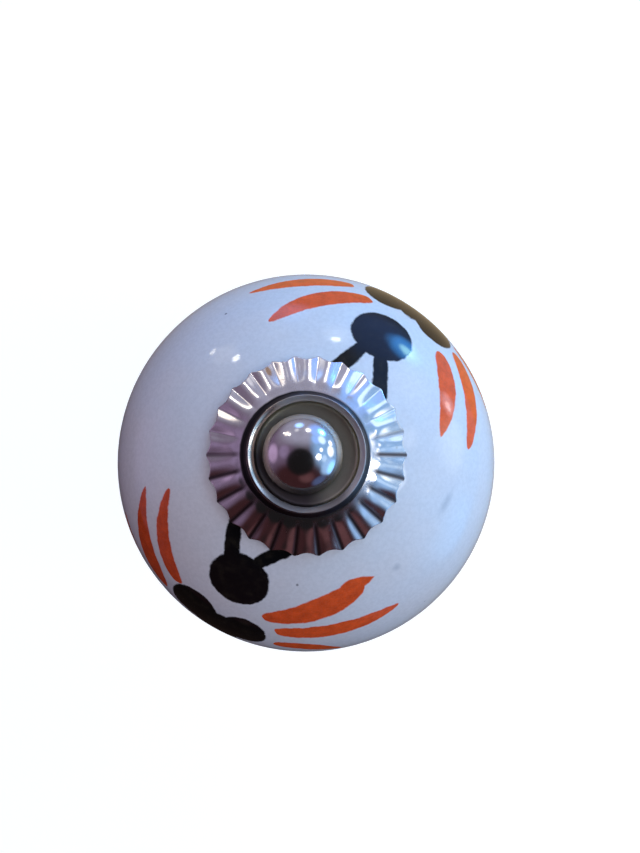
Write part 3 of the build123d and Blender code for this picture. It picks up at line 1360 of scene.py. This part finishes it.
@dataclass
class DomeScrew(PlatedPiece):
    """The long screw: a polished dome on a thin flange, a shank and a threaded stud."""

    node: str = "dome_screw"
    plating: PlateFinish = SCREW_PLATE
    dome: float = 3.35 * MM
    dome_height: float = 2.3 * MM
    flange: float = 3.65 * MM
    flange_height: float = 0.5 * MM
    flange_bevel: Point = span(0.28, 0.135)
    flange_step: float = 0.04 * MM
    flange_round: float = 0.1 * MM
    shank: float = 1.77 * MM
    thread: float = 2.0 * MM
    thread_top: float = 1.4 * MM
    pitch: float = 0.7 * MM
    thread_height: float = 0.43 * MM
    tip: float = 1.4 * MM
    tip_chamfer: float = 0.6 * MM
    tip_inset: float = 0.5 * MM
    columns: int = 72
    rows: int = 12
    axis_x: float = field(init=False)
    apex: float = field(init=False)
    end: float = field(init=False)

    CREST = 0.12
    ROOT = 0.24
    FLANGE_EASE = 0.2
    SMOOTH = 38.0

    def __post_init__(self) -> None:
        """Read the screw's axis and ends from its node."""
        low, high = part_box(self.node)
        self.axis_x = (low.x + high.x) / 2.0
        self.apex = high.z
        self.end = low.z

    def build(self) -> bpy.types.Object:
        """Model the head and the stud, and weld them.

        Returns:
            The finished piece.
        """
        stud = self._stud()
        head = self._head()
        bpy.ops.object.select_all(action="DESELECT")
        stud.piece.select_set(True)
        head.piece.select_set(True)
        bpy.context.view_layer.objects.active = head.piece
        bpy.ops.object.join()
        with head.edit():
            head.pick(lambda place: abs(place.z - self.thread_top) < NEAR)
            bpy.ops.mesh.bridge_edge_loops()
        return head.close(self.SMOOTH)

    def _head(self) -> Bench:
        """Model the dome from a ball, then its flange and shank from the dome's edge.

        Returns:
            The bench that holds the head.
        """
        ball = (self.dome**2 + self.dome_height**2) / (2.0 * self.dome_height)
        seam = self.apex - self.dome_height
        bench = Bench(
            "dome_screw_threaded", Blank.BALL, segments=self.columns, ring_count=self.columns, radius=ball,
            location=(self.axis_x, 0.0, self.apex - ball),
        )
        centre = Vector((self.axis_x, 0.0, seam))
        with bench.edit():
            bpy.ops.mesh.select_all(action="SELECT")
            bpy.ops.mesh.bisect(plane_co=tuple(centre), plane_no=(0.0, 0.0, 1.0), clear_inner=True)
            bench.pick(lambda place: abs(place.z - seam) < CLOSE)
            bench.draw_out(self._flange(seam), (self.dome, seam), centre)
        return bench

    def _flange(self, seam: float) -> list[Point]:
        """List the rings below the dome: the flange with its bevelled edge, then the shank.

        Args:
            seam: Height where the dome meets the flange.

        Returns:
            The radius and height of each ring.
        """
        base = seam - self.flange_height
        across, down = self.flange_bevel
        return [
            (self.flange - across, seam),
            (self.flange - self.FLANGE_EASE * across, seam - (1.0 - self.FLANGE_EASE) * down),
            (self.flange, seam - down - self.flange_step),
            (self.flange, base + self.flange_round),
            (self.flange - self.flange_round, base),
            (self.shank, base),
            (self.shank, self.thread_top),
        ]

    def _stud(self) -> Bench:
        """Model one turn of thread, repeat it down the stud, then turn the tip.

        Returns:
            The bench that holds the stud.
        """
        centre = Vector((self.axis_x, 0.0, self.thread_top))
        bench = Bench("stud", Blank.RING, vertices=self.columns, radius=self.thread, location=tuple(centre))
        turns = round((self.thread_top - self.end) / self.pitch)
        with bench.edit():
            bpy.ops.mesh.select_all(action="SELECT")
            for _ in range(self.rows):
                bench.ring(1.0, -self.pitch / self.rows, centre)
            for phase in range(self.rows):
                bench.pick(lambda place: self._phase(place) == phase)
                share = self._radius(phase / self.rows) / self.thread
                bpy.ops.transform.resize(value=(share, share, 1.0), center_override=tuple(centre))
        bench.modify(
            "ARRAY", count=turns, use_relative_offset=False, use_constant_offset=True,
            constant_offset_displace=(0.0, 0.0, -self.pitch), use_merge_vertices=True, merge_threshold=CLOSE,
        )
        self._turn_tip(bench)
        return bench

    def _phase(self, place: Vector) -> int:
        """Find the row of the thread's section that a place on the blank belongs to.

        Args:
            place: The place.

        Returns:
            The row, counted from the crest.
        """
        turn = math.atan2(place.y, place.x - self.axis_x) / math.tau
        climb = (place.z - self.thread_top) / self.pitch
        return round((turn - climb) * self.rows) % self.rows

    def _radius(self, share: float) -> float:
        """Radius of the thread's section, from crest to root to crest.

        Args:
            share: Place within one pitch, 0 on the crest.

        Returns:
            The radius in metres.
        """
        off = min(share, 1.0 - share)
        flank = (off - self.CREST / 2.0) / (0.5 - self.CREST / 2.0 - self.ROOT / 2.0)
        return self.thread - self.thread_height * min(max(flank, 0.0), 1.0)

    def _turn_tip(self, bench: Bench) -> None:
        """Turn the stud's end down to its chamfer and close it.

        Args:
            bench: The bench that holds the threaded stud.
        """
        mesh = bench.piece.data
        for vertex in mesh.vertices:
            above = vertex.co.z - self.end
            limit = self.tip + (self.thread - self.tip) * above / self.tip_chamfer
            out = math.hypot(vertex.co.x - self.axis_x, vertex.co.y)
            if out > limit:
                vertex.co.x = self.axis_x + (vertex.co.x - self.axis_x) * limit / out
                vertex.co.y *= limit / out
        with bench.edit():
            bench.pick(lambda place: abs(place.z - self.end) < NEAR)
            bpy.ops.mesh.edge_face_add()
            bpy.ops.mesh.inset(thickness=self.tip_inset)


@dataclass
class BackHardware:
    """The ferrule, washer and nut behind the ball, dressed in place by the record's finishes."""

    bright: PlateFinish = FERRULE_PLATE
    zinc: PlateFinish = ZINC_PLATE
    slots: tuple[tuple[str, Slot], ...] = (
        ("back_ferrule", Slot.PLATE),
        ("back_washer", Slot.ZINC),
        ("hex_nut", Slot.ZINC),
    )

    def dress(self, wear: WearEffect) -> None:
        """Plate each node.

        Args:
            wear: The shared wear marks.
        """
        platings = {Slot.PLATE: self.bright.material(wear), Slot.ZINC: self.zinc.material(wear)}
        for node, slot in self.slots:
            dress(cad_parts[node], platings[slot])


@dataclass(frozen=True)
class Lamp:
    """A soft lamp that looks at the knob, by its place on the studio's dome."""

    name: str
    azimuth: float
    elevation: float
    width: float
    height: float
    glow: float
    colour: Colour
    distance: float = 0.30
    mirrored: bool = True


@dataclass(frozen=True)
class LightCard:
    """A patch of colour on the studio's tent, by its heading and spread in degrees."""

    azimuth: float
    elevation: float
    inner: float
    outer: float
    colour: Colour


@dataclass
class Studio:
    """The white floor, the tent of light cards, the lamps and the camera."""

    floor_level: float
    aim: Vector = field(default_factory=lambda: Vector((0.0, 0.0, 34.0 * MM)))
    camera_place: tuple[float, float, float] = (0.082 * MM, -1.993 * MM, 88.725 * MM)
    camera_pitch: float = 4.579
    camera_roll: float = -1.085
    image_height: float = 853.0
    focal_pixels: float = 641.0
    clip_start: float = 1.0 * MM
    floor_radius: float = 0.17
    floor_sides: int = 96
    floor_shade: float = 0.45
    floor_glow: float = 0.78
    floor_rough: float = 0.9
    floor_fade: Point = (-0.05, 0.08)
    floor_dark: Colour = (0.020, 0.012, 0.010)
    floor_beige: Colour = (0.56, 0.43, 0.27)
    tent_radius: float = 0.60
    tent_rings: int = 32
    tent_colour: Colour = (0.10, 0.085, 0.11)
    cards: tuple[LightCard, ...] = (
        LightCard(178.0, 15.0, 25.0, 70.0, (0.185, 0.128, 0.212)),
        LightCard(124.0, 20.0, 15.0, 42.0, (0.25, 0.21, 0.29)),
        LightCard(88.0, 22.0, 20.0, 60.0, (0.42, 0.42, 0.56)),
        LightCard(12.0, 14.0, 25.0, 62.0, (0.31, 0.57, 0.98)),
        LightCard(58.0, 12.0, 6.0, 24.0, (0.46, 0.77, 1.8)),
        LightCard(-98.0, 8.0, 40.0, 68.0, (0.050, 0.018, 0.021)),
        LightCard(-80.0, 22.0, 4.0, 22.0, (0.14, 0.060, 0.066)),
        LightCard(-26.0, 9.0, 8.0, 24.0, (0.46, 0.76, 1.25)),
        LightCard(-58.0, -4.0, 6.0, 18.0, (0.10, 0.14, 0.30)),
        LightCard(47.0, 36.0, 5.0, 16.0, (0.40, 0.68, 1.35)),
        LightCard(174.0, 39.0, 3.0, 20.0, (0.31, 0.23, 0.39)),
        LightCard(178.0, 2.0, 10.0, 22.0, (0.54, 0.38, 0.62)),
        LightCard(-105.0, 66.0, 30.0, 42.0, (0.012, 0.011, 0.012)),
        LightCard(6.0, 9.0, 6.0, 13.5, (2.1, 2.4, 2.6)),
        LightCard(-24.0, -5.0, 5.0, 17.0, (0.6, 1.4, 2.6)),
        LightCard(36.0, 24.0, 4.0, 13.0, (1.1, 1.5, 2.1)),
        LightCard(-12.0, 28.0, 3.0, 11.0, (0.65, 0.95, 1.35)),
        LightCard(128.0, 18.0, 2.0, 7.0, (2.0, 1.8, 1.6)),
        LightCard(104.0, 22.0, 2.0, 6.0, (1.0, 1.0, 1.1)),
        LightCard(77.0, 22.0, 2.0, 8.0, (2.2, 2.2, 2.3)),
        LightCard(97.0, 7.0, 3.0, 11.0, (0.9, 1.55, 3.1)),
        LightCard(22.0, 4.0, 1.5, 6.0, (4.0, 4.4, 5.8)),
        LightCard(49.0, 7.0, 1.0, 10.0, (1.1, 5.1, 14.0)),
        LightCard(48.0, 7.5, 0.5, 4.0, (7.0, 16.0, 22.0)),
        LightCard(12.0, 38.0, 1.5, 6.0, (2.4, 2.5, 2.7)),
    )
    lamps: tuple[Lamp, ...] = (
        Lamp("front_fill", -54.0, 75.0, 0.26, 0.26, 1.62, (0.91, 0.905, 1.0), mirrored=False),
        Lamp("window_fill", 50.0, 32.0, 0.24, 0.20, 2.15, (0.19, 0.66, 1.0), mirrored=False),
        Lamp("low_fill", -54.0, 16.0, 0.20, 0.20, 0.88, (0.80, 0.86, 1.0), mirrored=False),
        Lamp("left_bulb", 131.0, 11.0, 0.016, 0.016, 10.0, (1.0, 0.93, 0.82)),
        Lamp("left_bulb_high", 125.0, 25.0, 0.018, 0.018, 22.0, (1.0, 0.97, 0.92)),
        Lamp("top_bulb", 77.0, 25.0, 0.018, 0.018, 20.0, (0.95, 0.97, 1.0)),
        Lamp("right_bulb", 21.0, 4.0, 0.024, 0.016, 8.0, (0.90, 0.97, 1.0)),
        Lamp("near_bulb", -11.0, 46.0, 0.070, 0.070, 7.0, (1.0, 1.0, 1.0)),
    )

    def build(self) -> None:
        """Set up everything around the knob."""
        self._view()
        self._floor()
        self._tent()
        for lamp in self.lamps:
            self._lamp(lamp)
        self._world()
        self._camera()

    @staticmethod
    def heading(azimuth: float, elevation: float) -> Vector:
        """Unit vector towards a place on the studio's dome.

        Args:
            azimuth: Degrees round from +X.
            elevation: Degrees up from level.

        Returns:
            The vector.
        """
        a, e = math.radians(azimuth), math.radians(elevation)
        return Vector((math.cos(a) * math.cos(e), math.sin(a) * math.cos(e), math.sin(e)))

    def _view(self) -> None:
        """Show colours as they are written."""
        bpy.context.scene.view_settings.view_transform = "Standard"

    def _camera(self) -> None:
        """Place the camera close in front of the knob, as a phone held over it."""
        lens = bpy.data.cameras.new("camera")
        lens.lens = self.focal_pixels / self.image_height * lens.sensor_width
        lens.clip_start = self.clip_start
        camera = bpy.data.objects.new("camera", lens)
        camera.location = self.camera_place
        camera.rotation_euler = (math.radians(self.camera_pitch), math.radians(self.camera_roll), 0.0)
        bpy.context.scene.collection.objects.link(camera)
        bpy.context.scene.camera = camera

    def _lamp(self, lamp: Lamp) -> None:
        """Hang one lamp, aimed at the front of the knob.

        Args:
            lamp: Its place, size and glow.
        """
        light = bpy.data.lights.new(lamp.name, "AREA")
        light.shape = "ELLIPSE"
        light.size = lamp.width
        light.size_y = lamp.height
        light.color = lamp.colour
        light.energy = lamp.glow * math.pi * math.pi * lamp.width * lamp.height / 4.0
        hung = bpy.data.objects.new(lamp.name, light)
        towards = self.heading(lamp.azimuth, lamp.elevation)
        hung.location = self.aim + towards * lamp.distance
        hung.rotation_euler = towards.to_track_quat("Z", "Y").to_euler()
        hung.visible_glossy = lamp.mirrored
        bpy.context.scene.collection.objects.link(hung)

    def _world(self) -> None:
        """Leave white around the studio for the eye and for reflections."""
        world = bpy.data.worlds.new("white_surround")
        world.use_nodes = True
        graph = Graph(world.node_tree)
        sky = world.node_tree.nodes["Background"]
        sky.inputs["Color"].default_value = (1.0, 1.0, 1.0, 1.0)
        graph.feed(sky.inputs["Strength"], self._seen(graph))
        bpy.context.scene.world = world

    def _seen(self, graph: Graph) -> Socket:
        """Tell the rays that see the surround from those that would be lit by it.

        Args:
            graph: The world's graph.

        Returns:
            One for rays that the eye, a reflection or a clear piece sends, else nothing.
        """
        path = graph.add("ShaderNodeLightPath").outputs
        seen = graph.maths("MAXIMUM", path["Is Camera Ray"], path["Is Glossy Ray"])
        return graph.maths("MAXIMUM", seen, path["Is Transmission Ray"])

    def _floor(self) -> None:
        """Lay a white floor that glows a little to the eye and takes the knob's shadow."""
        bpy.ops.object.select_all(action="DESELECT")
        bpy.ops.mesh.primitive_circle_add(
            vertices=self.floor_sides, radius=self.floor_radius, fill_type="NGON",
            location=(0.0, 0.0, self.floor_level),
        )
        floor = bpy.context.object
        floor.name = "studio_floor"
        surface = Surface("white_floor")
        sockets = surface.shader.inputs
        sockets["Roughness"].default_value = self.floor_rough
        sockets["Specular IOR Level"].default_value = 0.0
        path = surface.add("ShaderNodeLightPath").outputs
        shade = surface.times(surface.minus(1.0, path["Is Glossy Ray"]), self.floor_shade)
        plain = surface.add("ShaderNodeCombineColor")
        for socket in plain.inputs:
            surface.feed(socket, shade)
        surface.feed(sockets["Base Color"], plain.outputs[0])
        across = surface.dot(surface.coords, (math.sqrt(0.5), math.sqrt(0.5), 0.0))
        mirrored = surface.mix(surface.step(across, *self.floor_fade), self.floor_dark, self.floor_beige)
        clear = surface.maths("MAXIMUM", path["Is Camera Ray"], path["Is Transmission Ray"])
        seen = surface.mix(clear, mirrored, (self.floor_glow, self.floor_glow, self.floor_glow))
        surface.feed(sockets["Emission Color"], seen)
        surface.feed(sockets["Emission Strength"], surface.maths("MAXIMUM", clear, path["Is Glossy Ray"]))
        dress(floor, surface.material)

    def _tent(self) -> None:
        """Hang the tent whose coloured cards fill the shadows and show in the metal."""
        bpy.ops.object.select_all(action="DESELECT")
        bpy.ops.mesh.primitive_uv_sphere_add(
            segments=2 * self.tent_rings, ring_count=self.tent_rings, radius=self.tent_radius,
            location=tuple(self.aim),
        )
        tent = bpy.context.object
        tent.name = "light_tent"
        surface = Surface("light_cards")
        towards = surface.vectors("NORMALIZE", surface.coords)
        colour: Feed = self.tent_colour
        for card in self.cards:
            near = surface.dot(towards, tuple(self.heading(card.azimuth, card.elevation)))
            outer, inner = (math.cos(math.radians(angle)) for angle in (card.outer, card.inner))
            colour = surface.mix(surface.step(near, outer, inner), colour, card.colour)
        glow = surface.add("ShaderNodeEmission")
        surface.feed(glow.inputs["Color"], colour)
        surface.feed(surface.tree.nodes["Material Output"].inputs["Surface"], glow.outputs[0])
        surface.tree.nodes.remove(surface.shader)
        dress(tent, surface.material)
        tent.visible_camera = False


def main() -> None:
    """Build the pieces, dress them and light them."""
    logging.basicConfig(level=logging.INFO, format="%(name)s: %(message)s")
    wear = WearEffect()
    PaintedBall().dress()
    for piece in (FlutedCap(), CupWasher(), DomeScrew()):
        piece.make(wear)
    BackHardware().dress(wear)
    Studio(floor_level=CAD_BOX[0].z).build()


if __name__ == "__main__":
    main()
